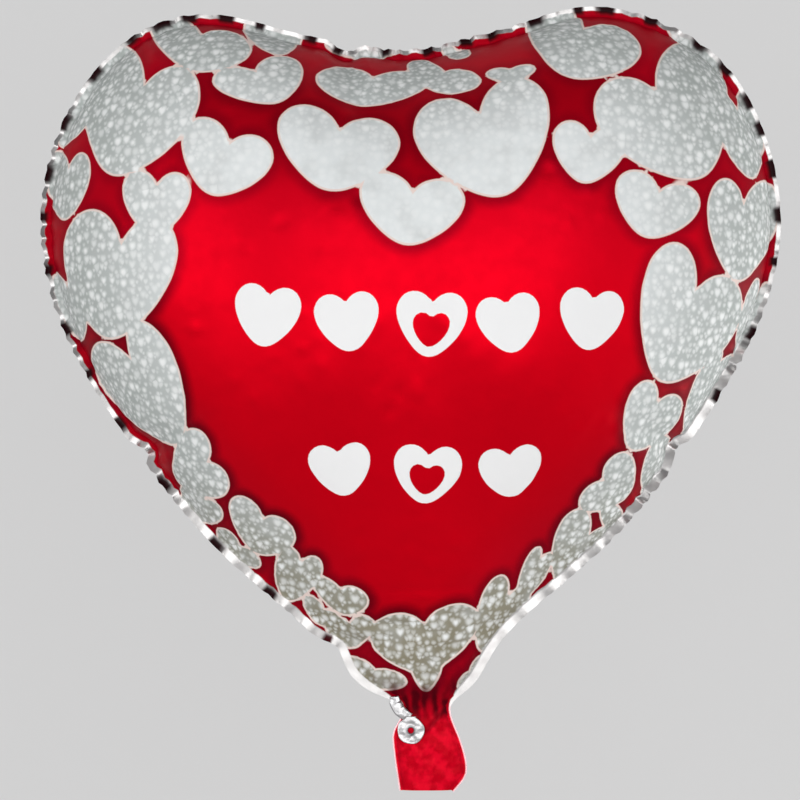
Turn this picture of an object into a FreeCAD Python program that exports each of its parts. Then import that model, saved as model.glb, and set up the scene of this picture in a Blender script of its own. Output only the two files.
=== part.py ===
import FreeCAD, Part
import math
import os

# Heart-shaped foil balloon, inflated, hanging by nothing but its neck.
# Frame: origin at the neck, where a ribbon or a cup holds the balloon. +Z runs up through the heart,
# +X to the right of someone who faces the printed front, and the front bulges towards -Y.
# All sizes are in millimetres.

# ---- driving dimensions -------------------------------------------------------------------------
FOIL = 0.5  # wall of a foil panel
FILM = 0.3  # wall of a valve film
COAT = 0.15  # release coat between the valve films
SEAM_MARGIN = 5.5  # width of the flat welded border outside the bulge
HEART_DEPTH = 83.0  # how far each panel bulges out of the seam plane

# The outer edge of the seam, anticlockwise from the neck as the front is faced: (x, z).
HEART_OUTLINE = [
    (-2.0, -5.0),
    (11.0, -1.0),
    (32.0, 25.0),
    (62.0, 56.0),
    (94.0, 83.5),
    (124.0, 118.0),
    (154.0, 162.0),
    (178.0, 208.0),
    (187.8, 256.0),
    (179.5, 303.0),
    (157.0, 342.0),
    (122.0, 364.5),
    (80.0, 371.8),
    (45.0, 361.5),
    (17.0, 354.0),
    (-10.5, 348.5),
    (-38.0, 351.5),
    (-75.0, 358.5),
    (-118.0, 368.0),
    (-159.0, 356.0),
    (-189.0, 324.0),
    (-207.5, 268.0),
    (-201.5, 214.0),
    (-176.0, 162.0),
    (-144.0, 117.0),
    (-108.0, 76.0),
    (-71.0, 44.0),
    (-39.0, 12.5),
    (-16.0, -3.0),
]
OUTLINE_STEPS = 96  # points that each cross-section of the bulge goes through

HEART_MIDDLE = (-10.0, 212.0)  # x, z of the crown of the bulge
CROWN_RADIUS = 165.0  # the bulge turns from heart-shaped to round towards its crown
BULGE_LEVELS = [1.0, 0.985, 0.955, 0.91, 0.84, 0.74, 0.61, 0.45, 0.27, 0.1]
PROFILE_POWER = 2.3  # fullness of the bulge near its crown
RIM_POWER = 0.62  # steepness of the bulge at the seam

NECK_BOTTOM = -5.0
NECK_SECTIONS = [  # z, middle x, half width, half thickness
    (-5.0, -2.0, 12.0, 1.8),
    (0.0, -1.5, 13.0, 3.0),
    (7.0, -1.0, 16.0, 6.0),
    (14.0, -1.0, 19.0, 8.0),
]

TAIL_SECTIONS = [  # z, middle x, half width, half thickness; the tail swings above its first section
    (-8.0, -2.0, 11.0, 1.3),
    (-14.0, -2.5, 13.5, 2.1),
    (-25.0, -0.5, 14.6, 2.6),
    (-38.0, 0.8, 15.0, 2.3),
    (-48.0, 1.6, 15.0, 1.9),
]
TAIL_OUTLINE = [
    (-15.1, -8.0),
    (-19.0, -16.3),
    (-17.5, -32.0),
    (-15.5, -48.0),
    (12.5, -48.0),
    (19.2, -39.0),
    (18.2, -30.0),
    (15.2, -20.0),
    (10.9, -8.0),
]

TAB_RADIUS = 7.2  # disc of the ribbon tab
TAB_HOLE_RADIUS = 1.6
TAB_HINGE = (-10.2, -2.95, -7.5)  # x, y, z of the crease above the disc
TAB_NECK_HALF_WIDTH = 2.6

VALVE_HALF_WIDTH = 7.5  # valve films inside the heart
VALVE_TOP = 92.0
VALVE_BOTTOM = -4.4
VALVE_GAP = 0.5  # between the two films
COAT_BOTTOM = -4.0
COAT_TOP = 22.0
INLET_HALF_WIDTH = 7.5  # the same films inside the tail
INLET_TOP = -11.0
INLET_BOTTOM = -45.0


def save(shape, name):
    """Writes one piece as a STEP file and prints its volume."""
    if not shape.isValid():
        print("NOT VALID:", name)
    solids = len(shape.Solids)
    print(f"{name}: {solids} solid, {shape.Volume:.1f} mm3")
    shape.exportStep(f"parts/{name}.step")


def mirrored(shape):
    """The same shape behind the seam plane."""
    origin = FreeCAD.Vector(0, 0, 0)
    return shape.mirror(origin, FreeCAD.Vector(0, 1, 0))


def closed_curve(points, y):
    """A smooth closed wire through (x, z) points in the plane of one y."""
    curve = Part.BSplineCurve()
    vectors = [FreeCAD.Vector(x, y, z) for x, z in points]
    curve.interpolate(Points=vectors, PeriodicFlag=True)
    return Part.Wire([curve.toShape()])


def outline_points():
    """Evenly spaced (x, z) points along the outer edge of the seam."""
    curve = Part.BSplineCurve()
    vectors = [FreeCAD.Vector(x, 0, z) for x, z in HEART_OUTLINE]
    curve.interpolate(Points=vectors, PeriodicFlag=True)
    samples = curve.discretize(Number=OUTLINE_STEPS + 1)[:-1]
    return [(p.x, p.z) for p in samples]


def inset(points, distance):
    """The outline moved inwards by a distance, square to its edge."""
    moved = []
    count = len(points)
    for i, (x, z) in enumerate(points):
        before = points[i - 1]
        after = points[(i + 1) % count]
        along = (after[0] - before[0], after[1] - before[1])
        length = math.hypot(*along)
        moved.append((x - along[1] / length * distance, z + along[0] / length * distance))
    return moved


def bulge(base, depth, wall):
    """A solid dome over the outline, in front of the seam plane. wall shrinks it to the inner face."""
    wires = []
    for level in BULGE_LEVELS:
        y = -(depth - wall) * (1 - level**PROFILE_POWER) ** RIM_POWER
        section = []
        for x, z in base:
            reach = (x - HEART_MIDDLE[0], z - HEART_MIDDLE[1])
            radius = math.hypot(*reach)
            heart = level * level
            size = level * (heart * radius + (1 - heart) * CROWN_RADIUS) - wall
            section.append((
                HEART_MIDDLE[0] + reach[0] / radius * size,
                HEART_MIDDLE[1] + reach[1] / radius * size,
            ))
        wires.append(closed_curve(section, y))
    return Part.makeLoft(wires, True)


def half_lens(z, middle, half_width, half_thickness):
    """A closed wire at one height: an arc that bulges to the front, and the seam line behind it."""
    left = FreeCAD.Vector(middle - half_width, 0, z)
    right = FreeCAD.Vector(middle + half_width, 0, z)
    crown = FreeCAD.Vector(middle, -half_thickness, z)
    arc = Part.Arc(left, crown, right).toShape()
    return Part.Wire([arc, Part.LineSegment(right, left).toShape()])


def half_tube(sections, wall):
    """The front half of a flattened tube, as a solid. wall shrinks it to the inner face."""
    wires = [half_lens(z, x, width - wall, thick - wall) for z, x, width, thick in sections]
    return Part.makeLoft(wires, True)


def plate(points, y_low, y_high):
    """A flat plate with a straight-sided (x, z) outline between two y planes."""
    corners = [FreeCAD.Vector(x, y_low, z) for x, z in points]
    face = Part.Face(Part.makePolygon(corners + corners[:1]))
    return face.extrude(FreeCAD.Vector(0, y_high - y_low, 0))


def extended(sections, below, above):
    """The sections with the last ones carried on past both ends, so that a cut runs right through."""
    ordered = sorted(sections, key=lambda section: section[0])
    low = (ordered[0][0] - below,) + ordered[0][1:]
    high = (ordered[-1][0] + above,) + ordered[-1][1:]
    return [low] + ordered + [high]


def heart_panel():
    """Front foil panel: the bulge, its half of the welded border and its half of the neck."""
    edge = outline_points()
    base = inset(edge, SEAM_MARGIN)
    border = Part.Face(closed_curve(edge, 0)).extrude(FreeCAD.Vector(0, -FOIL, 0))
    outside = border.fuse([bulge(base, HEART_DEPTH, 0), half_tube(NECK_SECTIONS, 0)])
    hollow = bulge(base, HEART_DEPTH, FOIL)
    channel = half_tube(extended(NECK_SECTIONS, 2.0, 2.0), FOIL)
    return outside.cut([hollow, channel])


def tail_panel():
    """Front half of the tail: flat edges and a slightly puffed middle, open at both ends."""
    edges = plate(TAIL_OUTLINE, -FOIL, 0)
    outside = edges.fuse(half_tube(TAIL_SECTIONS, 0))
    return outside.cut(half_tube(extended(TAIL_SECTIONS, 2.0, 2.0), FOIL))


def ribbon_tab():
    """Foil disc with a ribbon hole, and the short strip that it folds on."""
    x, y, z = TAB_HINGE
    front = y - FOIL / 2
    centre_z = z - TAB_RADIUS - 0.3
    forwards = FreeCAD.Vector(0, 1, 0)
    disc = Part.makeCylinder(TAB_RADIUS, FOIL, FreeCAD.Vector(x, front, centre_z), forwards)
    strip = Part.makeBox(
        2 * TAB_NECK_HALF_WIDTH,
        FOIL,
        z - centre_z,
        FreeCAD.Vector(x - TAB_NECK_HALF_WIDTH, front, centre_z),
    )
    hole_start = FreeCAD.Vector(x, front - FOIL, centre_z)
    hole = Part.makeCylinder(TAB_HOLE_RADIUS, 3 * FOIL, hole_start, forwards)
    return disc.fuse(strip).cut(hole).removeSplitter()


def film(middle, half_width, bottom, top, y_low, y_high):
    """A flat strip of valve film."""
    corners = [
        (middle - half_width, bottom),
        (middle + half_width, bottom),
        (middle + half_width, top),
        (middle - half_width, top),
    ]
    return plate(corners, y_low, y_high)


def main():
    os.makedirs("parts", exist_ok=True)

    front = heart_panel()
    save(front, "front_panel")
    save(mirrored(front), "back_panel")

    tail = tail_panel()
    save(tail, "tail_front")
    save(mirrored(tail), "tail_back")

    save(ribbon_tab(), "ribbon_tab")

    neck_x = NECK_SECTIONS[0][1]
    valve = film(neck_x, VALVE_HALF_WIDTH, VALVE_BOTTOM, VALVE_TOP, -VALVE_GAP / 2 - FILM, -VALVE_GAP / 2)
    save(valve, "valve_front_film")
    save(mirrored(valve), "valve_back_film")
    coat = film(neck_x, VALVE_HALF_WIDTH - 1, COAT_BOTTOM, COAT_TOP, -VALVE_GAP / 2, -VALVE_GAP / 2 + COAT)
    save(coat, "valve_release_coat")

    inlet = film(neck_x, INLET_HALF_WIDTH, INLET_BOTTOM, INLET_TOP, -VALVE_GAP / 2 - FILM, -VALVE_GAP / 2)
    save(inlet, "inlet_front_film")
    save(mirrored(inlet), "inlet_back_film")


main()
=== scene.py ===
import math

import bmesh
import bpy
import numpy as np
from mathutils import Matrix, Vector, noise
from mathutils.geometry import delaunay_2d_cdt


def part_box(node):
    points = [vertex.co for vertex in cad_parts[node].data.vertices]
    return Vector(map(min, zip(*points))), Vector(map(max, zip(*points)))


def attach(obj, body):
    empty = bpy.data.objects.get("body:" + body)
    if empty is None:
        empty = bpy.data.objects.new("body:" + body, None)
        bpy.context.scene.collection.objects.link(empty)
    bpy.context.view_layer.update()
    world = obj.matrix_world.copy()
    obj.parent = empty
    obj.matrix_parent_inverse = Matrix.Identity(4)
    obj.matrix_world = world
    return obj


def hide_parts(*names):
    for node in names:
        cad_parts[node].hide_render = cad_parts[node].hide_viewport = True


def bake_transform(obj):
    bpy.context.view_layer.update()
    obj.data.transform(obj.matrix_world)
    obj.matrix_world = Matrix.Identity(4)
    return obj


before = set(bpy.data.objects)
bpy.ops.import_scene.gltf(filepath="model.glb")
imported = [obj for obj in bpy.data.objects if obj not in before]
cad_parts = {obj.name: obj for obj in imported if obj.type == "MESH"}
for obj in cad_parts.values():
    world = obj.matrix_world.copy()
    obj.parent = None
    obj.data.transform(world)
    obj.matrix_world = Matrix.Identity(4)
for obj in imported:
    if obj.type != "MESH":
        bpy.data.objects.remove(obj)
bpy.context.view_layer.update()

# Lengths that end in _MM are millimetres in the row frame: x to the right, z up, the neck at the
# origin and the printed front towards -y. Meshes are made in millimetres and scaled once, at the end.
# A pair of heights or distances says where a change starts and where it is complete.
MM = 0.001
SEED = 11
FRONT, BACK, BORDER = 0, 1, 2  # which side of the skin a triangle or a point belongs to

# ---- the filled heart and the flat cut that it comes from ----
CAMERA_MM = (-16.0, -1427.0, 161.5)
MIDDLE_MM = (-10.0, 212.0)  # x and z below the crown of the bulge
DEPTH_MM = 83.0  # the crown's distance from the seam plane
FULL_POWER, RIM_POWER, TIP_POWER = 2.3, 0.62, 0.9  # roundness of the sections of the bulge
TIP_TURN = (0.2, 1.1)  # radians from straight down over which the tip's section gives way
PROFILE_STEPS = 160
RIM_SECTOR_DEG = 3  # one point of the CAD rim is kept in each sector
BORDER_MM = 5.5  # welded border outside the seam
TAIL_BORDER_MM = 1.3
SEAM_STEP_MM = 2.9
SEAM_ROUNDS = 14  # how often the seam's corners are eased
SEAM_ROWS_MM = (2.5, 5.4)  # rows of points just inside the seam, which carry the puckers
FIELD_STEP_MM = 5.2
TAIL_STEP_MM = 2.2
ROOM_SHARE = 0.62  # how near two points may come, as a share of their step
NECK_TOP_MM = 8.0
NECK_BLEND_MM = (2.0, 34.0)  # heights over which the tail's own shape gives way to the heart's
RIM_WEDGE = (0.25, 0.95, 0.02)  # most half thickness near the seam, in powers of its distance

# Seam of the tail, from the mouth up to the heart: (x, z).
TAIL_RIGHT_MM = [
    (11.6, -47.4), (19.0, -38.8), (18.0, -30.0), (15.0, -20.0), (11.0, -11.0), (9.2, -5.0), (9.4, 0.0),
]
TAIL_LEFT_MM = [
    (-13.0, 0.0), (-12.8, -5.0), (-14.6, -10.0), (-19.2, -16.5), (-17.4, -32.0), (-15.0, -47.4),
]
TAIL_PUFF_MM = [  # height, half thickness in the middle
    (-48.0, 1.9), (-38.0, 2.4), (-25.0, 2.7), (-14.0, 2.3), (-6.5, 1.7), (0.0, 2.9), (8.0, 5.6),
    (40.0, 16.0),
]
PUFF_EDGE_MM, PUFF_POWER = 9.0, 0.8  # how far from the seam the tail is fully thick, and how round

# ---- inflation ----
SIM_UNIT_MM = 100.0  # the cloth runs in units of this many millimetres
SIM_FRAMES = 30
FOIL = {
    "quality": 6, "mass": 0.05, "air_damping": 2, "bending_stiffness": 0.12, "bending_damping": 0.5,
    "tension_stiffness": 80, "compression_stiffness": 30, "shear_stiffness": 20,
    "tension_damping": 10, "compression_damping": 10, "shear_damping": 10,
    "use_pressure": True, "uniform_pressure_force": 6, "pin_stiffness": 5,
}

# Puckers of the seam. Each list has an entry for the seam, the border's middle and its edge.
PUCKER_MM = 17.0  # pitch
PUCKER_DRIFT = 0.34  # how much the pitch wanders
PUCKER_PULL = 0.35  # how far the foil is drawn in, as a share of the pucker's height
PUCKERED_MM = (10, 60)  # heights over which the puckers grow
WAVE_SHARES = (0.45, 0.8, 1.3)
# How strongly each row takes the painted shade of the pleats.
PLEAT_SHADE_SHARES = (0.15, 0.85, 1.0)
MOST_SPARE = 0.2  # most foil that a pucker takes up, as a share of the seam
SPARE_SPAN = 9  # points over which the spare foil is evened

# Painted shade: short dark pleats on the border.
PLEAT_HALF_MM = (2.2, 5.2)
LOBE_GAPS_MM, LOW_GAPS_MM = (13, 30), (26, 46)  # least and most distance from pleat to pleat
LOBES_FROM_MM = 235
PLEATS_FROM_MM = (20, 150)  # height of the lowest pleats, on the left and on the right
PLEATS_RIGHT_MM = 10  # x that counts as right

# ---- crumples of the neck and the tail ----
FILM_ROOM_MM = 0.95  # half thickness that the valve films inside need
GATHER_MM = 5.4  # pitch of the neck's gathers
GATHERED_MM = (-1.0, 8.0)  # the height where they are deepest, and how far they reach from it
FOLD_MM = (-7.0, -21.0)  # x and z where the fold across the tail's front starts
FOLD_NORMAL = (-0.745, 0.667)  # square to the fold, up and to the left
FOLD_ENDS_MM = (-24, -17)


def smooth(low, high, value):
    t = np.clip((np.asarray(value, float) - low) / (high - low), 0, 1)
    return t * t * (3 - 2 * t)


def placed(name, data):
    """A new object in the scene."""
    obj = bpy.data.objects.new(name, data)
    bpy.context.scene.collection.objects.link(obj)
    return obj


def resample(points, step, closed):
    """Points every step along a line of straight pieces."""
    line = np.asarray(points, float)
    if closed:
        line = np.vstack([line, line[:1]])
    along = np.r_[0, np.cumsum(np.linalg.norm(np.diff(line, axis=0), axis=1))]
    count = max(2, int(round(along[-1] / step)))
    where = np.linspace(0, along[-1], count + 1)
    if closed:
        where = where[:-1]
    return np.stack([np.interp(where, along, line[:, k]) for k in range(line.shape[1])], 1)


def softened(line, rounds):
    """An open line with its corners rounded; its ends stay."""
    line = line.copy()
    for _ in range(rounds):
        line[1:-1] = 0.5 * line[1:-1] + 0.25 * (line[:-2] + line[2:])
    return line


def outward(line):
    """Unit normals on the right-hand side of an open line."""
    along = np.gradient(line, axis=0)
    along /= np.linalg.norm(along, axis=1)[:, None]
    return np.stack([along[:, 1], -along[:, 0]], 1)


def polar(x, z, middle):
    """Angle and reach from a middle."""
    return np.arctan2(z - middle[1], x - middle[0]), np.hypot(x - middle[0], z - middle[1])


def directed(middle, angle, reach):
    """The points at an angle and a reach from a middle."""
    return np.stack([middle[0] + reach * np.cos(angle), middle[1] + reach * np.sin(angle)], 1)


def around(angle, table):
    """Looks an angle up in a table of angles and values that goes right round."""
    return np.interp(angle, table[0], table[1], period=2 * math.pi)


def cad_rim():
    """Outer edge of the CAD heart as a table of angle and reach from the middle, in millimetres."""
    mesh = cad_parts["front_panel"].data
    co = np.empty(len(mesh.vertices) * 3)
    mesh.vertices.foreach_get("co", co)
    co = co.reshape(-1, 3) / MM
    flat = co[np.abs(co[:, 1]) < 0.6]
    angle, reach = polar(flat[:, 0], flat[:, 2], MIDDLE_MM)
    sector = np.floor(np.degrees(angle) / RIM_SECTOR_DEG).astype(int)
    picks = [np.flatnonzero(sector == s)[np.argmax(reach[sector == s])] for s in np.unique(sector)]
    order = sorted(picks, key=lambda i: angle[i])
    return angle[order], reach[order]


def dome(t, point):
    """Depth of the bulge, from 1 at its crown (t = 0) to 0 at the seam (t = 1). point runs from 0
    across the full lobes to 1 down towards the tip."""
    full = (1 - t**FULL_POWER) ** RIM_POWER
    return full * (1 - point) + (1 - t) ** TIP_POWER * point


def pointed(angle):
    """1 straight down from the middle, towards the tip, and 0 across the lobes."""
    return 1 - smooth(*TIP_TURN, np.abs(angle + math.pi / 2))


def foil_lengths(angle, reach):
    """Lengths along the foil from the crown out to the seam, one row for each direction."""
    t = np.linspace(0, 1, PROFILE_STEPS)
    depth = DEPTH_MM * dome(t[None], pointed(angle)[:, None])
    steps = np.hypot(np.diff(depth, axis=1), np.diff(t)[None] * reach[:, None])
    return np.column_stack([np.zeros(len(reach)), np.cumsum(steps, axis=1)])


class Heart:
    """The filled heart's seam and the flat cut's seam, by direction from the middle."""

    def __init__(self):
        self.rim = cad_rim()
        turn = np.radians(np.arange(-180, 180, 1.0))
        reach = around(turn, self.rim)
        edge = directed(MIDDLE_MM, turn, reach)
        edge = np.vstack([edge, edge[:1]])
        normal = outward(edge)[:-1]
        normal[0] = normal[-1]
        inner = edge[:-1] - normal * BORDER_MM
        angle, reach = polar(inner[:, 0], inner[:, 1], MIDDLE_MM)
        order = np.argsort(angle)
        self.seam = (angle[order], reach[order])
        self.turn = turn
        self.reach = around(turn, self.seam)
        self.lengths = foil_lengths(turn, self.reach)
        self.flat = (turn, self.lengths[:, -1])
        drop = around(-math.pi / 2, self.flat) - around(-math.pi / 2, self.seam)
        self.flat_middle = (MIDDLE_MM[0], MIDDLE_MM[1] + float(drop))

    def filled(self, flat):
        """Where points of the flat cut lie on the smooth bulge: x, depth, z."""
        angle, reach = polar(flat[:, 0], flat[:, 1], self.flat_middle)
        share = reach / around(angle, self.flat)
        row = np.round(np.degrees(angle) + 180).astype(int) % len(self.turn)
        t = np.linspace(0, 1, PROFILE_STEPS)
        along = np.minimum(share, 1) * self.lengths[row, -1]
        place = np.array([np.interp(a, self.lengths[r], t) for a, r in zip(along, row)])
        depth = DEPTH_MM * dome(place, pointed(angle))
        out = place * around(angle, self.seam) + np.maximum(share - 1, 0) * around(angle, self.flat)
        return MIDDLE_MM[0] + out * np.cos(angle), depth, MIDDLE_MM[1] + out * np.sin(angle)

    def seam_line(self):
        """The flat cut's seam, from the mouth's right corner round the heart to the left corner."""
        turn = np.radians(np.arange(-88, 268, 0.5))
        reach = around((turn + math.pi) % (2 * math.pi) - math.pi, self.flat)
        heart = directed(self.flat_middle, turn, reach)
        heart = heart[heart[:, 1] > NECK_TOP_MM]
        line = np.vstack([TAIL_RIGHT_MM, heart, TAIL_LEFT_MM])
        line = resample(line, 1.0, False)
        return resample(softened(line, SEAM_ROUNDS), SEAM_STEP_MM, False)


def inside(points, line):
    """Which points lie inside a closed line."""
    x, z = points[:, 0], points[:, 1]
    odd = np.zeros(len(points), bool)
    for (x1, z1), (x2, z2) in zip(line, np.roll(line, -1, 0)):
        if z1 != z2:
            crossing = ((z1 > z) != (z2 > z)) & (x < (x2 - x1) * (z - z1) / (z2 - z1) + x1)
            odd ^= crossing
    return odd


def nearest(points, line):
    """Distance from each point to the nearest point of a line."""
    return np.array([np.min(np.hypot(line[:, 0] - p[0], line[:, 1] - p[1])) for p in points])


def hexagon_points(low, high, step):
    """Points of a grid of even triangles between two corners."""
    rows = np.arange(low[1], high[1], step * math.sqrt(3) / 2)
    cols = np.arange(low[0], high[0], step)
    return np.array([(x + (step / 2 if k % 2 else 0), z) for k, z in enumerate(rows) for x in cols])


def flat_points(seam):
    """One flat panel's points: its outline, then rows along the seam, then the field."""
    mouth = resample(np.vstack([seam[-1], seam[0]]), TAIL_STEP_MM, False)[1:-1]
    outline = np.vstack([seam, mouth])
    rows = []
    for k, depth in enumerate(SEAM_ROWS_MM):
        row = (seam - outward(seam) * depth)[:: 1 + k]
        keep = inside(row, outline)
        keep &= nearest(row, outline) > 0.9 * depth
        keep &= row[:, 1] > NECK_TOP_MM + 4
        rows.append(row[keep])
    field = hexagon_points(seam.min(0), seam.max(0), FIELD_STEP_MM)
    field = field[field[:, 1] > NECK_TOP_MM + 8]
    field = field[inside(field, outline)]
    field = field[nearest(field, np.vstack([outline] + rows)) > ROOM_SHARE * FIELD_STEP_MM]
    low = hexagon_points((-30, -50), (30, NECK_TOP_MM + 10), TAIL_STEP_MM)
    low = low[inside(low, outline)]
    low = low[nearest(low, np.vstack([outline] + rows + [field])) > ROOM_SHARE * TAIL_STEP_MM]
    return outline, np.vstack([outline] + rows + [field, low])


def border_width(z):
    """Width of the welded border at a height."""
    return TAIL_BORDER_MM + (BORDER_MM - TAIL_BORDER_MM) * smooth(-5, 14, z)


def puff(points, seam_distance):
    """Half thickness of the tail and the neck."""
    z, thick = zip(*TAIL_PUFF_MM)
    crown = np.interp(points[:, 1], z, thick)
    across = np.clip(seam_distance / PUFF_EDGE_MM, 0, 1)
    return crown * (1 - (1 - across) ** 2) ** PUFF_POWER


def started(heart, flat, seam_distance):
    """Where points of the flat cut start: on the smooth bulge, and below it on the neck and tail."""
    x, depth, z = heart.filled(flat)
    share = smooth(*NECK_BLEND_MM, flat[:, 1])
    even, slope, curve = RIM_WEDGE
    depth = np.minimum(depth, even + slope * seam_distance + curve * seam_distance**2)
    half = depth * share + puff(flat, seam_distance) * (1 - share)
    return x * share + flat[:, 0] * (1 - share), half, z * share + flat[:, 1] * (1 - share)


def flat_cut():
    """Both panels and the border as one flat mesh: its points in the flat cut (x, z) and where they
    start in space, their depth inside the seam, its triangles with their side, and the seam's points."""
    heart = Heart()
    seam = heart.seam_line()
    outline, points = flat_points(seam)
    count = len(outline)
    loop = [(i, (i + 1) % count) for i in range(count)]
    places, _, faces, origins, _, _ = delaunay_2d_cdt([Vector(p) for p in points], loop, [], 1, 1e-4)
    flat = np.array([tuple(p) for p in places])
    source = np.array([o[0] if o else -1 for o in origins])
    on_seam = (source >= 0) & (source < len(seam))
    seam_index = {source[i]: i for i in np.flatnonzero(on_seam)}
    depth = nearest(flat, seam)

    triangles = [(f[0], f[1], f[2], FRONT) for f in faces]
    twin = np.arange(len(flat))
    twin[~on_seam] = len(flat) + np.arange(np.count_nonzero(~on_seam))
    triangles += [(twin[f[0]], twin[f[2]], twin[f[1]], BACK) for f in faces]

    x, half, z = started(heart, flat, depth)
    half[on_seam] = 0
    start = np.column_stack([x, -half, z])
    behind = start[~on_seam] * (1, -1, 1)
    all_flat = np.vstack([flat, flat[~on_seam]])
    all_start = np.vstack([start, behind])
    all_depth = np.r_[depth, depth[~on_seam]]

    seam_ring = ring = np.array([seam_index[j] for j in range(len(seam))])
    start_seam = all_start[ring][:, [0, 2]]
    flat_normal, start_normal = outward(seam), outward(start_seam)
    for share in (0.5, 1.0):
        width = (border_width(seam[:, 1]) * share)[:, None]
        new = len(all_flat) + np.arange(len(seam))
        all_flat = np.vstack([all_flat, seam + flat_normal * width])
        place = start_seam + start_normal * width
        all_start = np.vstack([all_start, np.column_stack([place[:, 0], 0 * width, place[:, 1]])])
        all_depth = np.r_[all_depth, -width[:, 0]]
        for a, b, c, d in zip(ring[:-1], ring[1:], new[1:], new[:-1]):
            triangles += [(a, c, b, BORDER), (a, d, c, BORDER)]
        ring = new
    return {
        "heart": heart, "seam": seam, "flat": all_flat, "start": all_start, "depth": all_depth,
        "triangles": np.array(triangles), "ring": seam_ring,
    }


def pleats(along, seam, draw):
    """Painted shade of short dark pleats on the border, from 0 to 1: close together round the lobes, far
    apart lower down, and none low on the right."""
    dark = np.zeros(len(along))
    place = 6.0
    while place < along[-1]:
        x, z = (np.interp(place, along, seam[:, k]) for k in (0, 1))
        if z > PLEATS_FROM_MM[1 if x > PLEATS_RIGHT_MM else 0]:
            half = draw.uniform(*PLEAT_HALF_MM)
            dark = np.maximum(dark, 1 - smooth(0.75 * half, half + 1.2, np.abs(along - place)))
        place += draw.uniform(*(LOBE_GAPS_MM if z > LOBES_FROM_MM else LOW_GAPS_MM))
    return dark


def puckered(cut):
    """The starting points with the seam and its border drawn into waves, as long as the foil that the
    filled heart's shorter seam has to take up, and the painted shade of the border's pleats."""
    draw = np.random.default_rng(SEED)
    start = cut["start"].copy()
    shade = np.zeros(len(start))
    seam = start[cut["ring"]][:, [0, 2]]
    along = np.r_[0, np.cumsum(np.linalg.norm(np.diff(seam, axis=0), axis=1))]
    flat_step = np.linalg.norm(np.diff(cut["seam"], axis=0), axis=1)
    spare = np.clip(flat_step / np.diff(along) - 1, 0, MOST_SPARE)
    spare = np.convolve(np.r_[spare, spare[-1]], np.ones(SPARE_SPAN) / SPARE_SPAN, "same")
    count = len(along)
    drift = np.cumsum(draw.normal(0, PUCKER_DRIFT, count))
    lively = 0.58 + 0.42 * np.sin(along / 23.0 + 1.6 * np.sin(along / 41.0))
    lively *= smooth(*PUCKERED_MM, cut["seam"][:, 1])
    size = PUCKER_MM / math.pi * np.sqrt(spare) * lively
    phase = 2 * math.pi * along / PUCKER_MM + drift
    wave = size * np.sin(phase)
    pull = outward(seam) * (PUCKER_PULL * size * np.cos(2 * phase))[:, None]
    dark = pleats(along, seam, draw)
    rows = (cut["ring"], np.arange(-2 * count, -count), np.arange(-count, 0))
    # Each row goes into the waves and takes its share of the painted pleat shade.
    for row, height, tint in zip(rows, WAVE_SHARES, PLEAT_SHADE_SHARES):
        start[row, 0] += pull[:, 0]
        start[row, 1] += wave * height
        start[row, 2] += pull[:, 1]
        shade[row] = dark * tint
    loose = smooth(2, 8, cut["depth"]) * smooth(*PUCKERED_MM, cut["flat"][:, 1])
    start[:, 1] += draw.normal(0, 0.25, len(start)) * loose
    return start, shade


def inflate(cut, start):
    """Fills the heart as cloth under pressure. Its springs are as long as in the flat cut; its seam
    is held on the filled heart's outline. Returns the points, in mm."""
    flat = np.column_stack([cut["flat"][:, 0], np.zeros(len(start)), cut["flat"][:, 1]])
    mesh = bpy.data.meshes.new("inflating")
    triangles = [tuple(int(i) for i in t[:3]) for t in cut["triangles"]]
    mesh.from_pydata([tuple(p) for p in flat / SIM_UNIT_MM], [], triangles)
    obj = placed("inflating", mesh)
    obj.shape_key_add(name="cut")
    shaped = obj.shape_key_add(name="start")
    shaped.data.foreach_set("co", (start / SIM_UNIT_MM).ravel())
    shaped.value = 1.0
    pressed = smooth(2, 30, cut["flat"][:, 1]) * (cut["depth"] >= -0.01)
    held = 1 - smooth(-6, 10, cut["flat"][:, 1])
    held[cut["ring"]] = 1
    for name, shares in (("pressed", pressed), ("held", held)):
        group = obj.vertex_groups.new(name=name)
        for i in np.flatnonzero(shares > 0):
            group.add([int(i)], float(shares[i]), "REPLACE")

    cloth = obj.modifiers.new("cloth", "CLOTH")
    foil = cloth.settings
    foil.rest_shape_key = obj.data.shape_keys.key_blocks["cut"]
    for key, value in FOIL.items():
        setattr(foil, key, value)
    foil.vertex_group_pressure = "pressed"
    foil.vertex_group_mass = "held"
    foil.effector_weights.gravity = 0
    cloth.collision_settings.use_collision = False
    cloth.point_cache.frame_end = SIM_FRAMES
    scene = bpy.context.scene
    scene.frame_start, scene.frame_end = 1, SIM_FRAMES
    for number in range(1, SIM_FRAMES + 1):
        scene.frame_set(number)
    filled = obj.evaluated_get(bpy.context.evaluated_depsgraph_get())
    co = np.empty(len(start) * 3)
    filled.data.vertices.foreach_get("co", co)
    scene.frame_set(1)
    bpy.data.objects.remove(obj)
    bpy.data.meshes.remove(mesh)
    return co.reshape(-1, 3) * SIM_UNIT_MM


def fit_to_frame(filled):
    """Makes the bulge reach as far as the CAD panels."""
    co = filled.copy()
    low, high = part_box("front_panel")[0].y / MM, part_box("back_panel")[1].y / MM
    heart = smooth(4, 60, co[:, 2])
    depth = np.where(co[:, 1] < 0, low / co[:, 1].min(), high / co[:, 1].max())
    co[:, 1] *= 1 + (depth - 1) * heart
    return co


def edges_of(triangles):
    """The edges ab, bc and ca of every triangle, one after the other."""
    edges = np.vstack([triangles[:, [0, 1]], triangles[:, [1, 2]], triangles[:, [2, 0]]])
    return np.sort(edges, axis=1)


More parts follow.
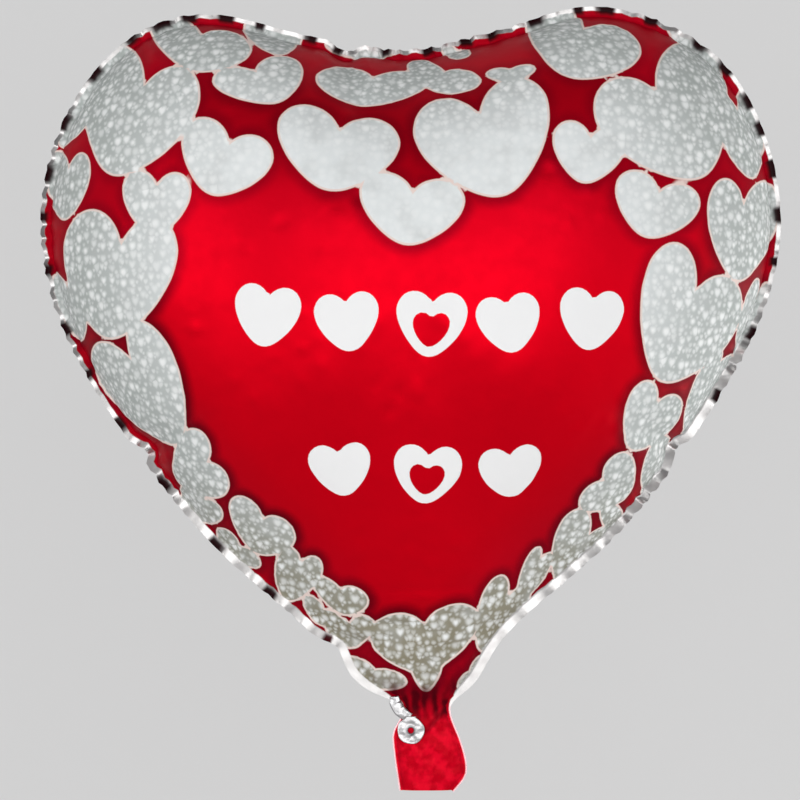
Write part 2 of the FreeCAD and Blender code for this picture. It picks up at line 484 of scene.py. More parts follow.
def split(points, triangles, *others):
    """Cuts every triangle in four. others are more columns of values at the points."""
    unique, back = np.unique(edges_of(triangles), axis=0, return_inverse=True)
    middle = len(points) + back.reshape(-1)
    n = len(triangles)
    ab, bc, ca = middle[:n], middle[n:2 * n], middle[2 * n:]
    a, b, c, side = triangles.T
    corners = ((a, ab, ca), (ab, b, bc), (ca, bc, c), (ab, bc, ca))
    cut = [np.column_stack((*three, side)) for three in corners]
    halved = [np.concatenate([v, (v[unique[:, 0]] + v[unique[:, 1]]) / 2]) for v in (points, *others)]
    return [halved[0], np.vstack(cut)] + halved[1:]


def relaxed(points, triangles, rounds, still):
    """Evens the surface without shrinking it. Points in still stay."""
    edges = np.unique(edges_of(triangles), axis=0)
    degree = np.bincount(edges.ravel(), minlength=len(points)).astype(float)
    degree[degree == 0] = 1
    for step in range(2 * rounds):
        total = np.zeros_like(points)
        np.add.at(total, edges[:, 0], points[edges[:, 1]])
        np.add.at(total, edges[:, 1], points[edges[:, 0]])
        move = (total / degree[:, None] - points) * (0.5 if step % 2 == 0 else -0.52)
        move[still] = 0
        points = points + move
    return points


def crumpled(points, depth, side):
    """Adds the gathers of the neck, the creases of the tail and one fold across it. Returns the points
    and the painted shade of each: darker in the hollows, round the neck, along the fold and near the
    tail's seam."""
    low = np.flatnonzero((points[:, 2] < 24) & (depth > 0.4) & (side < BORDER))
    move, edge = np.zeros(len(low)), np.zeros(len(low))
    for k, i in enumerate(low):
        x, _, z = points[i]
        apart = 40.0 * side[i]  # so that the two sides don't crease alike
        broad = noise.noise(Vector((x / 6.0 + apart, z / 8.0, 1.7)))
        fine = noise.noise(Vector((x / 2.6 + apart, z / 3.4, 5.1)))
        gather = math.cos(2 * math.pi * (x + 1.2 * broad + 0.07 * z) / GATHER_MM)
        gather *= math.exp(-(((z - GATHERED_MM[0]) / GATHERED_MM[1]) ** 2))
        across = (x - FOLD_MM[0]) * FOLD_NORMAL[0] + (z - FOLD_MM[1]) * FOLD_NORMAL[1]
        on_fold = float(smooth(*FOLD_ENDS_MM, z)) * (side[i] == FRONT)
        fold = 0.9 * math.exp(-((across / 1.3) ** 2)) - 0.5 * float(smooth(-1.5, 1.5, across))
        move[k] = 1.0 * broad + 0.6 * fine + 0.7 * gather + fold * on_fold
        edge[k] = math.exp(-((across / 1.6) ** 2)) * on_fold
    outwards = np.where(side[low] == FRONT, -1, 1)
    height = points[low, 2]
    share = smooth(0.3, 3.5, depth[low]) * smooth(22, 8, height) * smooth(-50, -42, height)
    share *= 0.35 + 0.65 * smooth(1.2, 2.6, np.abs(points[low, 1]))
    points = points.copy()
    points[low, 1] += move * share * outwards

    clear = (depth[low] > 2.5) & (height < 4)
    tight = clear & (np.abs(points[low, 1]) < FILM_ROOM_MM)
    points[low[tight], 1] = outwards[tight] * FILM_ROOM_MM

    # Painted shade: darker in the crumples' hollows, round the neck, along the fold and near the tail's
    # seam.
    neck = np.exp(-(((height - 1) / 9.0) ** 2))
    rim = smooth(4.5, 0.5, depth[low]) * smooth(4, -4, height)
    dark = np.clip(0.1 - 0.6 * move, 0, 1) * (0.35 + 0.45 * neck) + 0.3 * neck + 0.5 * edge + 0.3 * rim
    creases = np.zeros(len(points))
    creases[low] = np.clip(dark * smooth(24, 12, height), 0, 0.85)
    return points, creases


def envelope():
    """The filled balloon's skin, with the fields that the foil's material reads."""
    cut = flat_cut()
    start, shade = puckered(cut)
    points = fit_to_frame(inflate(cut, start))
    columns = (cut["flat"], cut["depth"], shade)
    points, triangles, flat, depth, shade = split(points, cut["triangles"], *columns)
    points = relaxed(points, triangles, 2, np.flatnonzero(depth < -TAIL_BORDER_MM + 0.1))
    side = np.full(len(points), BORDER)
    for face in (FRONT, BACK):
        side[triangles[triangles[:, 3] == face][:, :3]] = face
    points, creases = crumpled(points, depth, side)
    skin = {"points": points, "triangles": triangles, "flat": flat, "depth": depth}
    border, white = print_fields(skin)
    angle, reach = polar(points[:, 0], points[:, 2], MIDDLE_MM)
    skin["fields"] = {
        "border_mm": border,  # distance to the border's hearts, negative inside them
        "white_mm": white,  # the same for the white hearts
        "bare_mm": bare_depth(skin),
        # painted shade of the pleats and of the neck's creases
        "shade": np.maximum(shade, creases),
        "reach": reach / around(angle, cut["heart"].rim),  # 0 in the middle and 1 at the rim
    }
    return skin


# ---- the print ----
# Hearts of the border as the front shows them, in millimetres: cleft x, z, tip x, z, width, and for
# some how many degrees their lobes are turned from square.
BORDER_HEARTS = [
    (-152, 332, -171, 281, 64), (-122, 358, -128, 337, 58), (-94, 338, -81, 320, 49, -22),
    (-107, 300, -118, 271, 52), (-48, 307, -55, 273, 68), (-9, 274, -13, 244, 58),
    (-146, 277, -148, 249, 38), (-165, 247, -172, 193, 63), (-193, 287, -196, 257, 25),
    (-182, 327, -198, 296, 19), (-194, 223, -186, 192, 18), (-161, 185, -134, 137, 44),
    (-118, 129, -137, 119, 42), (-89, 99, -94, 79, 42, -16), (-69, 75, -77, 53, 27),
    (-48, 61, -47, 46, 33, -22), (-120, 109, -131, 99, 30), (-101, 84, -108, 76, 32),
    (-56, 50, -62, 42, 27), (-43, 43, -42, 28, 28), (-29, 18, -33, 7, 38), (-2, 27, -2, 5, 20),
    (-3, 43, -2, 15, 62, 7), (42, 57, 27, 26, 27), (21, 17, 25, 10, 23, 22), (59, 76, 47, 53, 15),
    (86, 91, 68, 63, 34), (104, 100, 97, 88, 28), (92, 119, 107, 110, 41, -8),
    (128, 134, 114, 109, 22), (122, 161, 107, 134, 31), (150, 171, 136, 140, 18),
    (156, 183, 144, 163, 15), (175, 217, 163, 183, 13), (26, 316, 40, 270, 76),
    (86, 303, 82, 277, 41), (120, 329, 147, 280, 75), (83, 361, 72, 334, 68),
    (123, 274, 115, 248, 48), (143, 222, 122, 171, 60, -12), (168, 268, 165, 224, 40),
    (164, 318, 173, 279, 28), (43, 339, 44, 331, 28), (-30, 335, -36, 318, 62, 16),
    (8, 338, 5, 325, 42), (142, 354, 136, 347, 40), (14, 350, 12, 343, 18),
    (-32, 355, -32, 343, 50, 3), (-84, 362, -80, 345, 34, -12),
]
HEART_ROUNDING_MM = 1.2  # the hearts have rounded tips and clefts
NOWHERE_MM = 30.0  # distance to the nearest shape where there is none
# Plain white hearts in the middle: centre x, z, width and lean in degrees.
WHITE_HEARTS = [
    (-88, 203, 35, -8), (-44, 200, 33, 6), (0, 198, 36, -4), (43, 199, 33, 8), (86, 201, 35, -6),
    (-47, 121, 34, 7), (-2, 118, 37, -5), (43, 120, 34, 6),
]
WHITE_HEIGHT, WHITE_ROUNDING_MM = 0.72, 1.5  # height as a share of the width
RED_INSETS = (2, 6)  # those with a small red heart in them
INSET_SIZE, INSET_ROUNDING_MM = 0.52, 0.8  # size as a share of the white heart's
HALF_HEART = [  # right half of a heart's outline, from its cleft over the lobe to its tip; width 1
    (0.0, 0.45), (0.06, 0.63), (0.16, 0.76), (0.29, 0.81), (0.42, 0.72), (0.5, 0.49), (0.47, 0.2),
    (0.36, -0.1), (0.21, -0.34), (0.08, -0.48), (0.0, -0.51),
]


def heart_line():
    """A closed heart: width 1, its sharp cleft near (0, 0.5) and its rounded tip near (0, -0.5)."""
    half = np.array(HALF_HEART)
    line = np.vstack([half, half[-2:0:-1] * (-1, 1)])
    smoothed = resample(line, 0.06, True)
    cleft = np.hypot(*(smoothed - half[0]).T) < 0.01
    for _ in range(3):
        middle = 0.5 * smoothed + 0.25 * (np.roll(smoothed, 1, 0) + np.roll(smoothed, -1, 0))
        smoothed = np.where(cleft[:, None], smoothed, middle)
    return smoothed


def distance_to_loop(points, loop):
    """Signed distance to a closed line: negative inside."""
    best = np.full(len(points), 1e9)
    for a, b in zip(loop, np.roll(loop, -1, 0)):
        ab = b - a
        t = np.clip(((points - a) @ ab) / (ab @ ab), 0, 1)
        gap = points - a - t[:, None] * ab
        best = np.minimum(best, np.hypot(gap[:, 0], gap[:, 1]))
    return np.where(inside(points, loop), -best, best)


def as_seen(points):
    """Where points appear in the seam plane to someone who stands at the camera."""
    x, y, z = (points - CAMERA_MM).T
    nearer = -CAMERA_MM[1] / y
    return np.stack([CAMERA_MM[0] + x * nearer, CAMERA_MM[2] + z * nearer], 1)


def on_foil(view, flat, place):
    """Where a place seen from the front lies on the flat cut. Past the edge it carries straight on."""
    gap = np.hypot(view[:, 0] - place[0], view[:, 1] - place[1])
    close = np.argsort(gap)[:8]
    weight = 1 / (gap[close] + 1.5)
    weight /= weight.sum()
    return weight @ flat[close] + (place - weight @ view[close])


def merged(a, b, reach=1.0):
    """The smaller of two distances, rounded where they are nearly equal."""
    share = np.clip(0.5 + 0.5 * (b - a) / reach, 0, 1)
    return b * (1 - share) + a * share - reach * share * (1 - share)


def add_loop(best, flat, loop, rounding):
    """Lowers best, the distance to the nearest shape, by one more closed line on the flat cut."""
    middle = loop.mean(0)
    reach = np.hypot(*(loop - middle).T).max() + 14
    near = np.flatnonzero(np.hypot(*(flat - middle).T) < reach)
    best[near] = merged(best[near], distance_to_loop(flat[near], loop) - rounding)


def heading(turn):
    """The direction at an angle."""
    return np.array((math.cos(turn), math.sin(turn)))


def heart_at(middle, across, up, rounding):
    """The line of a heart with its sides along across and up, drawn in so that rounding brings it
    back to size."""
    across = across * (1 - 2 * rounding / np.linalg.norm(across))
    up = up * (1 - 2 * rounding / np.linalg.norm(up))
    return middle + heart_line() @ np.stack([across, up])


def print_fields(skin):
    """Signed distances on the foil, in mm: to the border hearts and to the white hearts."""
    front = np.unique(skin["triangles"][skin["triangles"][:, 3] != BACK][:, :3])
    view, view_flat = as_seen(skin["points"][front]), skin["flat"][front]
    flat = skin["flat"]
    border, white, insets = (np.full(len(flat), NOWHERE_MM) for _ in range(3))
    for cleft_x, cleft_z, tip_x, tip_z, width, *turn in BORDER_HEARTS:
        cleft, tip = np.array((cleft_x, cleft_z)), np.array((tip_x, tip_z))
        up = cleft - tip
        across = heading(math.atan2(-up[0], up[1]) + math.radians(sum(turn))) * width
        seen = heart_at((cleft + tip) / 2, across, up, HEART_ROUNDING_MM)
        loop = np.array([on_foil(view, view_flat, place) for place in seen])
        add_loop(border, flat, loop, HEART_ROUNDING_MM)
    for k, (x, z, width, lean) in enumerate(WHITE_HEARTS):
        middle = on_foil(view, view_flat, np.array((x, z)))
        across = heading(math.radians(lean)) * width
        up = heading(math.radians(lean + 90)) * width * WHITE_HEIGHT
        loop = heart_at(middle, across, up, WHITE_ROUNDING_MM)
        add_loop(white, flat, loop, WHITE_ROUNDING_MM)
        if k in RED_INSETS:
            middle = middle - up * 0.04
            loop = heart_at(middle, across * INSET_SIZE, up * INSET_SIZE, INSET_ROUNDING_MM)
            add_loop(insets, flat, loop, INSET_ROUNDING_MM)
    return border, np.maximum(white, -insets)


def bare_depth(skin):
    """Depth inside the bare foil's edge, in mm: negative where the foil is unprinted. The whole border
    is bare low on the right, and elsewhere only its outer part."""
    x, z = skin["points"][:, 0], skin["points"][:, 2]
    wide = np.where(x > 0, smooth(225, 175, z), 0.75 * smooth(170, 110, z)) * smooth(-4, 6, z)
    narrow = np.where(z < 2, 0.3, 3.0)
    return skin["depth"] + 0.3 + (1 - wide) * narrow


# ---- materials ----
def linear(r, g, b):
    """A colour given as 0-255 screen values, as a shader colour."""
    values = [c / 255 for c in (r, g, b)]
    return tuple(v / 12.92 if v <= 0.04045 else ((v + 0.055) / 1.055) ** 2.4 for v in values) + (1.0,)


# Red: ink on the heart, lighter in blots, and a printed halo round the pale hearts; painted shade at the
# rim and high up; the tail's red in a shaded and a lit copy, painted light and shade for its creases.
RED, RED_LIT, RED_HALO = linear(220, 0, 24), linear(236, 1, 27), linear(112, 0, 18)
RED_RIM_SHADE, RED_HIGH_SHADE = linear(126, 2, 24), linear(190, 2, 30)
TAIL_RED_SHADED, TAIL_RED_LIT = linear(204, 2, 28), linear(240, 10, 42)
# Pale ink in the middle; painted shade at the rim and low down; the ink's clouds, its dots and its
# outline.
PALE, PALE_RIM_SHADE, PALE_LOW_SHADE = linear(236, 240, 240), linear(181, 187, 184), linear(148, 142, 122)
PALE_CLOUD, DOT, CREAM = linear(200, 203, 202), linear(253, 255, 254), linear(242, 222, 214)
WHITE = linear(250, 250, 250)
# Bare foil, the tail's bare edge, and the painted shade of the pleats and of the neck's creases.
SILVER, SILVER_LIT, TAIL_EDGE = linear(176, 174, 174), linear(226, 224, 222), linear(236, 186, 192)
PAINTED_PLEAT_SHADE, PAINTED_CREASE_SHADE = linear(34, 10, 14), linear(78, 2, 14)
# The tab, and the films of the valve.
TAB_SILVER, TAB_LIT, TAB_DARK = linear(176, 176, 178), linear(226, 224, 224), linear(84, 80, 84)
FILM_TINT, COAT_TINT, FILM_CLEAR = linear(214, 222, 228), linear(120, 130, 160), linear(240, 243, 246)
DOTS_MM, SMALL_DOTS_MM = 6.4, 3.7  # pitch of the dots on the pale hearts


class Nodes:
    """Short calls for building one material's node tree."""

    def __init__(self, name):
        self.material = bpy.data.materials.new(name)
        self.material.use_nodes = True
        self.tree = self.material.node_tree
        self.shader = self.tree.nodes["Principled BSDF"]

    def add(self, kind, inputs=None, **settings):
        node = self.tree.nodes.new("ShaderNode" + kind)
        for key, value in settings.items():
            setattr(node, key, value)
        for key, value in (inputs or {}).items():
            self.set(node.inputs[key], value)
        return node

    def set(self, socket, value):
        if isinstance(value, bpy.types.NodeSocket):
            self.tree.links.new(value, socket)
        else:
            socket.default_value = value

    def surface(self, inputs):
        """Sets inputs of the shader and returns the finished material."""
        for key, value in inputs.items():
            self.set(self.shader.inputs[key], value)
        return self.material

    def math(self, operation, a, b=0.0):
        return self.add("Math", {0: a, 1: b}, operation=operation).outputs[0]

    def less(self, a, b):
        return self.add("VectorMath", {0: a, 1: b}, operation="SUBTRACT").outputs[0]

    def mix(self, share, a, b):
        inputs = {0: share, 6: a, 7: b}
        return self.add("Mix", inputs, data_type="RGBA", clamp_factor=True).outputs[2]

    def between(self, share, a, b):
        return self.add("Mix", {0: share, 2: a, 3: b}, data_type="FLOAT").outputs[0]

    def step(self, value, low, high, start=0.0, end=1.0):
        """Turns value from low to high into start to end, smoothly, and keeps it there outside."""
        inputs = dict(enumerate((value, low, high, start, end)))
        return self.add("MapRange", inputs, interpolation_type="SMOOTHSTEP").outputs[0]

    def attribute(self, name):
        return self.add("Attribute", attribute_name=name, attribute_type="GEOMETRY")

    def noise(self, place, scale, detail=3.0, roughness=0.5):
        inputs = {"Vector": place, "Scale": scale, "Detail": detail, "Roughness": roughness}
        return self.add("TexNoise", inputs).outputs["Fac"]

    def bump(self, height, strength, distance):
        inputs = {"Height": height, "Strength": strength, "Distance": distance}
        return self.add("Bump", inputs).outputs["Normal"]


def dots(nodes, place, pitch):
    """Small soft hearts and spots in a loose grid, from 0 to 1. place and pitch are in mm."""
    scaled = nodes.add("VectorMath", {0: place, 3: 1 / pitch}, operation="SCALE").outputs[0]
    cells = nodes.add("TexVoronoi", {"Vector": scaled, "Scale": 1.0, "Randomness": 0.7},
                      voronoi_dimensions="2D")
    parts = nodes.add("SeparateXYZ", {0: nodes.less(scaled, cells.outputs["Position"])})
    chance = nodes.add("SeparateColor", {0: cells.outputs["Color"]})
    lean = nodes.math("MULTIPLY", chance.outputs[1], 0.7)
    side = nodes.math("ABSOLUTE", parts.outputs[0])
    height = nodes.math("SUBTRACT", parts.outputs[1], nodes.math("MULTIPLY", side, lean))
    square = nodes.math("ADD", nodes.math("MULTIPLY", side, side), nodes.math("MULTIPLY", height, height))
    reach = nodes.math("SQRT", square)
    size = nodes.step(chance.outputs[0], 0.1, 0.95, 0.22, 0.36)
    edge = nodes.math("SUBTRACT", reach, size)
    bright = nodes.step(chance.outputs[2], 0.0, 1.0, 0.55, 1.0)
    return nodes.math("MULTIPLY", nodes.step(edge, -0.24, 0.2, 1.0, 0.0), bright)


def red_ink_and_shade(nodes, place, height, border, reach):
    """The red field, with a dark halo round the pale hearts, painted shade at the rim and high up, and
    painted light and shade for creases on the tail.
    """
    red = nodes.mix(nodes.step(border, 0.3, 8.0), RED_HALO, RED)
    blot = nodes.noise(place, 0.013, 2.0)
    red = nodes.mix(nodes.step(blot, 0.35, 0.7, 0.0, 0.35), red, RED_LIT)
    # Painted shade: darker red towards the rim and high up.
    red = nodes.mix(nodes.step(reach, 0.66, 0.94, 0.0, 0.6), red, RED_RIM_SHADE)
    red = nodes.mix(nodes.step(height, 190.0, 330.0, 0.0, 0.6), red, RED_HIGH_SHADE)
    # Painted light and shade: the tail's red in a shaded and a lit copy, in blotches that stand for its
    # creases.
    tail_crease_light_and_shade = nodes.step(nodes.noise(place, 0.13, 2.0, 0.5), 0.4, 0.62)
    tail = nodes.mix(tail_crease_light_and_shade, TAIL_RED_SHADED, TAIL_RED_LIT)
    return nodes.mix(nodes.step(height, 2.0, -14.0), red, tail)


def pale_ink_and_shade(nodes, place, height, border, reach):
    """The border's hearts: clouded and dotted, faintly in the middle and strongly at the rim, greyer at
    the rim and low down with painted shade, and with a cream line just inside their outline."""
    small = nodes.math("MULTIPLY", dots(nodes, place, SMALL_DOTS_MM), 0.6)
    dotted = nodes.math("MAXIMUM", dots(nodes, place, DOTS_MM), small)
    dotted = nodes.math("MULTIPLY", dotted, nodes.step(reach, 0.46, 0.72, 0.4, 1.0))
    # Painted shade: the pale ground greyer towards the rim and low down.
    ground = nodes.mix(nodes.step(reach, 0.5, 0.92), PALE, PALE_RIM_SHADE)
    ground = nodes.mix(nodes.step(height, 150.0, 30.0), ground, PALE_LOW_SHADE)
    cloud = nodes.step(nodes.noise(place, 0.06, 2.0), 0.4, 0.8, 0.0, 0.5)
    ground = nodes.mix(cloud, ground, PALE_CLOUD)
    pale = nodes.mix(dotted, ground, DOT)
    return nodes.mix(nodes.step(border, -1.5, -0.8), pale, CREAM)


def foil_material(name):
    """Printed foil: a red field, the pale heart border, white hearts, and the bare welded edge, with
    painted shade at the rim, high up, low down, in the pleats and in the creases, and painted light on
    the tail's creases.
    """
    nodes = Nodes(name)
    place = nodes.attribute("flat_mm").outputs["Vector"]
    height = nodes.add("SeparateXYZ", {0: place}).outputs[1]  # in the flat cut
    keys = ("border_mm", "white_mm", "bare_mm", "reach", "shade")
    border, white, bare_mm, reach, shade = (nodes.attribute(key).outputs["Fac"] for key in keys)

    inked = (nodes, place, height, border, reach)
    colour = nodes.mix(nodes.step(border, 0.3, -0.3), red_ink_and_shade(*inked), pale_ink_and_shade(*inked))
    colour = nodes.mix(nodes.step(white, 0.25, -0.25), colour, WHITE)
    bare = nodes.step(bare_mm, 0.35, -0.35)
    silver = nodes.mix(nodes.noise(place, 0.12, 3.0), SILVER, SILVER_LIT)
    silver = nodes.mix(nodes.step(height, 0.0, -6.0), silver, TAIL_EDGE)
    colour = nodes.mix(bare, colour, silver)
    # Painted shade of the pleats and of the neck's creases darkens the colour.
    dark = nodes.mix(nodes.step(height, 45.0, 20.0), PAINTED_PLEAT_SHADE, PAINTED_CREASE_SHADE)
    colour = nodes.mix(nodes.step(shade, 0.05, 0.95), colour, dark)

    red_share = nodes.math("MULTIPLY", nodes.step(border, -0.3, 0.3), nodes.step(white, -0.25, 0.25))
    gloss = nodes.math("MULTIPLY", red_share, nodes.step(reach, 0.7, 0.9, 0.55, 0.05))
    metal = nodes.math("MAXIMUM", gloss, nodes.math("MULTIPLY", bare, 0.8))
    metal = nodes.math("MULTIPLY", metal, nodes.step(shade, 0.9, 0.3))

    smudge = nodes.noise(place, 0.09, 4.0, 0.6)
    rough = nodes.between(bare, nodes.step(smudge, 0.2, 0.8, 0.36, 0.46), 0.32)
    rough = nodes.between(nodes.step(height, 6.0, -8.0), rough, 0.27)
    crinkle = nodes.bump(nodes.noise(place, 0.07, 2.0), 0.1, 0.002)
    return nodes.surface({"Base Color": colour, "Metallic": metal, "Roughness": rough,
                          "Specular IOR Level": 0.02, "Normal": crinkle})


def silver_material(name, hole):
    """Bare foil, darker round the tab's hole. hole is its middle, in metres."""
    nodes = Nodes(name)
    place = nodes.add("TexCoord").outputs["Object"]
    grain = nodes.noise(place, 260.0, 4.0)
    colour = nodes.mix(grain, TAB_SILVER, TAB_LIT)
    parts = nodes.add("SeparateXYZ", {0: nodes.less(place, hole)})
    x_square, z_square = (nodes.math("POWER", parts.outputs[k], 2.0) for k in (0, 2))
    reach = nodes.math("SQRT", nodes.math("ADD", x_square, z_square))
    reach = nodes.math("ADD", reach, nodes.math("MULTIPLY", grain, 0.0016))
    colour = nodes.mix(nodes.step(reach, 0.0026, 0.0046, 0.85, 0.0), colour, TAB_DARK)
    return nodes.surface({"Base Color": colour, "Metallic": 0.9, "Normal": nodes.bump(grain, 0.3, 0.0008),
                          "Roughness": nodes.step(grain, 0.3, 0.7, 0.28, 0.4)})


def film_material(name, tint):
    """Thin plastic film, clouded with a tint."""
    nodes = Nodes(name)
    cloud = nodes.noise(nodes.add("TexCoord").outputs["Object"], 120.0, 4.0)
    return nodes.surface({"Base Color": nodes.mix(cloud, tint, FILM_CLEAR),
                          "Roughness": nodes.step(cloud, 0.3, 0.7, 0.25, 0.45),
                          "Normal": nodes.bump(cloud, 0.25, 0.001)})


# ---- pieces ----
WELD_GAP_MM = 0.12  # keeps the border's two faces apart
TAB_HOLE_MM = 1.6  # radius
TAB_STRIP_MM = 2.6  # half width of the tab's own strip, up to its fold
TAB_RINGS, TAB_STEPS = 15, 120
STRIP_ROUTE_MM = [(-19.0, -0.9, 3.0), (-18.4, -1.3, -0.6), (-16.6, -1.9, -4.0), (-13.6, -2.5, -6.6)]
STRIP_HALF_MM = [2.4, 3.2, 3.2, 2.9, 2.5]  # half widths along the route and at the tab's fold
STRIP_ROWS, STRIP_COLUMNS = 26, 9
STRIP_THICK_MM = 0.2


def linked(name, mesh, material):
    """A smooth-shaded piece of one mesh, in the scene."""
    mesh.polygons.foreach_set("use_smooth", np.ones(len(mesh.polygons), bool))
    mesh.materials.append(material)
    return placed(name, mesh)


def foil_sheet(name, skin, side, material):
    """One foil panel, from the lobes to the tail's mouth, with its face of the welded border."""
    keep = (skin["triangles"][:, 3] == side) | (skin["triangles"][:, 3] == BORDER)
    triangles = skin["triangles"][keep]
    points = skin["points"].copy()
    welded = skin["depth"] < 0.01
    points[welded, 1] += WELD_GAP_MM if side == BACK else -WELD_GAP_MM
    used, back = np.unique(triangles[:, :3], return_inverse=True)
    corners = back.reshape(-1, 3)
    if side == BACK:
        turned = triangles[:, 3] == BORDER
        corners[turned] = corners[turned][:, ::-1]
    mesh = bpy.data.meshes.new(name)
    faces = [tuple(int(i) for i in three) for three in corners]
    mesh.from_pydata([tuple(p) for p in points[used] * MM], [], faces)
    for key, values in skin["fields"].items():
        field = mesh.attributes.new(key, "FLOAT", "POINT")
        field.data.foreach_set("value", values[used].astype(np.float32))
    flat = np.column_stack([skin["flat"][used], np.zeros(len(used))]).astype(np.float32)
    mesh.attributes.new("flat_mm", "FLOAT_VECTOR", "POINT").data.foreach_set("vector", flat.ravel())
    mesh.update()
    obj = linked(name, mesh, material)
    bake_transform(obj)
    return obj


def bridge(bm, a, b, flip):
    """Faces between two closed rows of points."""
    for k in range(len(a)):
        after = (k + 1) % len(a)
        quad = (a[k], a[after], b[after], b[k])
        bm.faces.new(quad[::-1] if flip else quad)


def tab_disc(material):
    """The ribbon tab: a crumpled foil disc with a hole and a short strip up to its fold."""
    low, high = (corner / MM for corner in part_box("ribbon_tab"))
    centre_x = (low.x + high.x) / 2
    radius = (high.x - low.x) / 2
    centre_z = low.z + radius
    top = high.z - centre_z
    bm = bmesh.new()
    faces = []
    for face, face_y in enumerate((low.y, high.y)):
        rings = []
        for share in (k / (TAB_RINGS - 1) for k in range(TAB_RINGS)):
            ring = []
            for k in range(TAB_STEPS):
                turn = 2 * math.pi * k / TAB_STEPS
                reach = radius * (1 + 0.02 * math.sin(5 * turn + 1))
                if math.sin(turn) > 0:
                    strip = min(TAB_STRIP_MM / max(abs(math.cos(turn)), 1e-6), top / math.sin(turn))
                    reach = max(reach, strip)
                r = TAB_HOLE_MM + (reach - TAB_HOLE_MM) * share
                x, z = centre_x + r * math.cos(turn), centre_z + r * math.sin(turn)
                crumple = 0.45 * noise.noise(Vector((x / 3.4, z / 3.4, 3.3)))
                crumple += 0.1 * noise.noise(Vector((x / 1.5, z / 1.5, 8.1)))
                ease = min(1.0, share * 4, (1 - share) * 6 + 0.4)
                ring.append(bm.verts.new((x, face_y + crumple * ease, z)))
            rings.append(ring)
        for a, b in zip(rings, rings[1:]):
            bridge(bm, a, b, flip=face == 0)
        faces.append(rings)
    bridge(bm, faces[0][0], faces[1][0], flip=False)
    bridge(bm, faces[0][-1], faces[1][-1], flip=True)
    obj = finished(bm, "ribbon_tab_foil", material)
    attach(obj, "tab")
    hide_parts("ribbon_tab")


def finished(bm, name, material):
    """Turns a bmesh in millimetres into a smooth-shaded piece."""
    bmesh.ops.recalc_face_normals(bm, faces=bm.faces)
    for vert in bm.verts:
        vert.co *= MM
    mesh = bpy.data.meshes.new(name)
    bm.to_mesh(mesh)
    bm.free()
    return linked(name, mesh, material)


def tab_strip(material):
    """The crinkled strip of bare foil from the border's left end to the tab's fold."""
    low, high = (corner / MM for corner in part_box("ribbon_tab"))
    fold = Vector(((low.x + high.x) / 2 - 0.4, high.y + 0.15, high.z - 0.8))
    route = [Vector(point) for point in STRIP_ROUTE_MM] + [fold]
    spans = len(route) - 1
    bm = bmesh.new()
    grid = []
    for i in range(STRIP_ROWS):
        t = i / (STRIP_ROWS - 1) * spans
        k = min(int(t), spans - 1)
        place = route[k].lerp(route[k + 1], t - k)
        width = STRIP_HALF_MM[k] + (STRIP_HALF_MM[k + 1] - STRIP_HALF_MM[k]) * (t - k)
        ahead = (route[k + 1] - route[k]).normalized()
        across = ahead.cross(Vector((0, 1, 0))).normalized()
        row = []
        for j in range(STRIP_COLUMNS):
            u = 2 * j / (STRIP_COLUMNS - 1) - 1
            point = place + across * width * u
            crinkle = noise.noise(Vector((point.x / 2.6, point.z / 2.6, 4.2)))
            point.y += 0.6 * crinkle - 0.35 * (1 - u * u)
            row.append(bm.verts.new(point))
        grid.append(row)
    for a, b in zip(grid, grid[1:]):
        for j in range(STRIP_COLUMNS - 1):
            bm.faces.new((a[j], a[j + 1], b[j + 1], b[j]))
    obj = finished(bm, "tab_strip_foil", material)
    thick = obj.modifiers.new("foil", "SOLIDIFY")
    thick.thickness = STRIP_THICK_MM * MM
    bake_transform(obj)


# ---- stage ----
WALL_Y, FLOOR_Z, ROOM = 0.5, -0.35, 3  # metres; the floor and the wall reach ROOM to each side
WALL_GREY, FLOOR_GREY = linear(110, 110, 110), linear(226, 226, 226)
WALL_GLOW = 0.51
LIGHT_TARGET = (0, 0, 0.2)
LIGHTS = [  # name, place and size in metres, watts
    ("key", (-1.7, -1.7, 0.45), (1.4, 1.4), 16),
    ("front", (0.3, -2.6, 0.3), (2.2, 2.2), 39),
    ("side", (1.8, -1.2, 0.2), (0.8, 1.4), 6),
    ("low_right", (1.1, 0.42, -0.1), (0.5, 0.7), 8),
]


def camera():
    """A long lens straight in front, level with the middle of the balloon."""
    data = bpy.data.cameras.new("camera")
    data.lens = 120
    obj = placed("camera", data)
    obj.location = Vector(CAMERA_MM) * MM
    obj.rotation_euler = (math.radians(90), 0, 0)
    bpy.context.scene.camera = obj


def plain(name, colour, glow, see_through_behind):
    """Matt paint that may glow, and may be clear when it is seen from behind."""
    nodes = Nodes(name)
    place = nodes.add("TexCoord").outputs["Object"]
    grain = nodes.step(nodes.noise(place, 30.0, 4.0), 0.3, 0.7, 0.0, 1.0)
    darker = tuple(c * 0.985 for c in colour[:3]) + (1.0,)
    nodes.surface({"Base Color": nodes.mix(grain, colour, darker), "Roughness": 0.9,
                   "Emission Color": (1, 1, 1, 1), "Emission Strength": glow})
    if see_through_behind:
        clear = nodes.add("BsdfTransparent").outputs[0]
        behind = nodes.add("NewGeometry").outputs["Backfacing"]
        solid = nodes.shader.outputs[0]
        mixed = nodes.add("MixShader", {0: behind, 1: solid, 2: clear})
        output = nodes.tree.nodes["Material Output"]
        nodes.tree.links.new(mixed.outputs[0], output.inputs["Surface"])
    return nodes.material


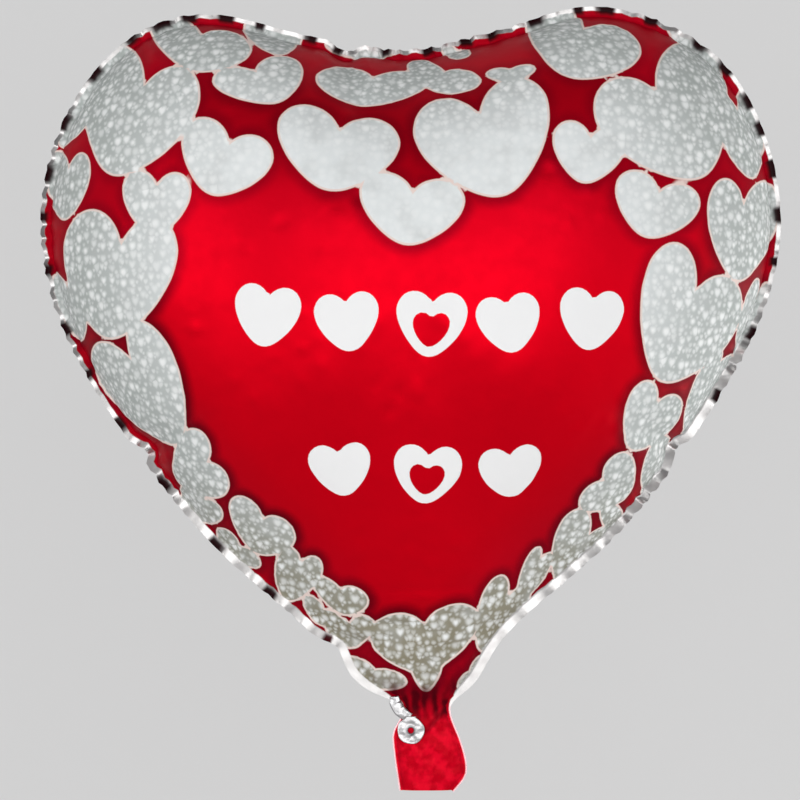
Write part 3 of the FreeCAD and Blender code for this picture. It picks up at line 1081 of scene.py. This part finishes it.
def rectangle(name, corners, material):
    """A flat part of the stage."""
    mesh = bpy.data.meshes.new(name)
    mesh.from_pydata(corners, [], [(0, 1, 2, 3)])
    mesh.materials.append(material)
    placed(name, mesh)


def area_light(name, place, size, watts):
    """A soft rectangular light that faces the balloon."""
    data = bpy.data.lights.new(name, "AREA")
    data.shape = "RECTANGLE"
    data.size, data.size_y = size
    data.energy = watts
    obj = placed(name, data)
    obj.location = place
    aim = Vector(LIGHT_TARGET) - Vector(place)
    obj.rotation_euler = aim.to_track_quat("-Z", "Y").to_euler()


def studio():
    """A pale wall and floor, soft lights and a dim grey world."""
    corners = ((-ROOM, 0), (ROOM, 0), (ROOM, 1), (-ROOM, 1))
    wall = [(x, WALL_Y, ROOM if far else FLOOR_Z) for x, far in corners]
    floor = [(x, ROOM if far else -ROOM, FLOOR_Z) for x, far in corners]
    rectangle("backdrop", wall, plain("backdrop", WALL_GREY, WALL_GLOW, True))
    rectangle("floor", floor, plain("floor", FLOOR_GREY, 0.0, False))
    for light in LIGHTS:
        area_light(*light)
    world = bpy.data.worlds.new("world")
    world.use_nodes = True
    world.node_tree.nodes["Background"].inputs[0].default_value = (0.12, 0.12, 0.125, 1)
    bpy.context.scene.world = world
    bpy.context.scene.view_settings.view_transform = "Standard"


def main():
    camera()
    skin = envelope()
    printed = foil_material("printed_foil")
    front = foil_sheet("front_foil", skin, FRONT, printed)
    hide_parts("front_panel", "tail_front")
    back = foil_sheet("back_foil", skin, BACK, printed)
    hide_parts("back_panel", "tail_back")

    low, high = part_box("ribbon_tab")
    half = (high.x - low.x) / 2
    bare = silver_material("bare_foil", (low.x + half, 0, low.z + half))
    tab_disc(bare)
    tab_strip(bare)

    film = film_material("valve_film", FILM_TINT)
    coat = film_material("release_coat", COAT_TINT)
    for node, material in (
        ("valve_front_film", film), ("valve_back_film", film), ("valve_release_coat", coat),
        ("inlet_front_film", film), ("inlet_back_film", film),
    ):
        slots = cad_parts[node].data.materials
        slots.clear()
        slots.append(material)
    studio()


main()
